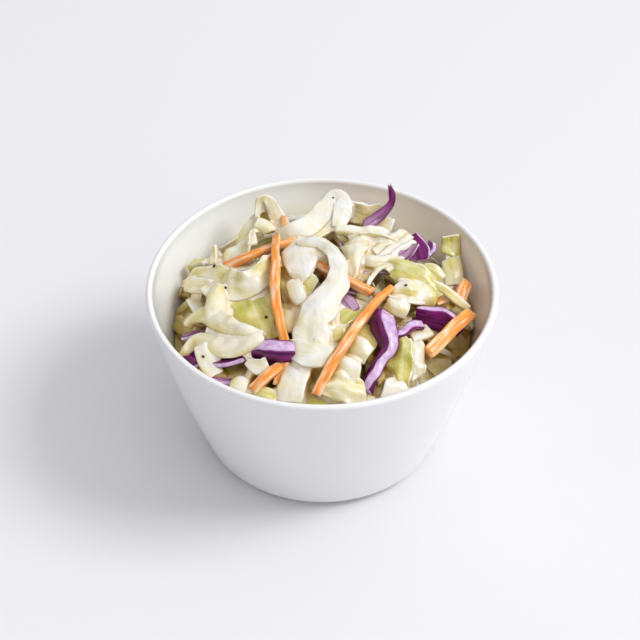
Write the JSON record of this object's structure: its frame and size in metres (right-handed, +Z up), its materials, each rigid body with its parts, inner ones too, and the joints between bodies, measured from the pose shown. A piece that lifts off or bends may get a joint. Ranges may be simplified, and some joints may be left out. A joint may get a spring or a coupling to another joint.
{
  "type": "coleslaw in a bowl",
  "caption": "Round white ceramic bowl filled with a loose mound of coleslaw: pale and green cabbage strips, purple cabbage and carrot sticks in a thin creamy dressing.",
  "frame": {"origin": "centre of the bowl's foot, on the surface it stands on", "axes": "+Z up out of the bowl, +X to the right and -Y towards someone who looks at the front of the heap"},
  "size_m": [0.11, 0.11, 0.0721],
  "materials": {
    "porcelain": "gloss",
    "slaw": "satin"
  },
  "bodies": {
    "root": {"bowl": "porcelain", "slaw": "slaw"}
  },
  "joints": []
}
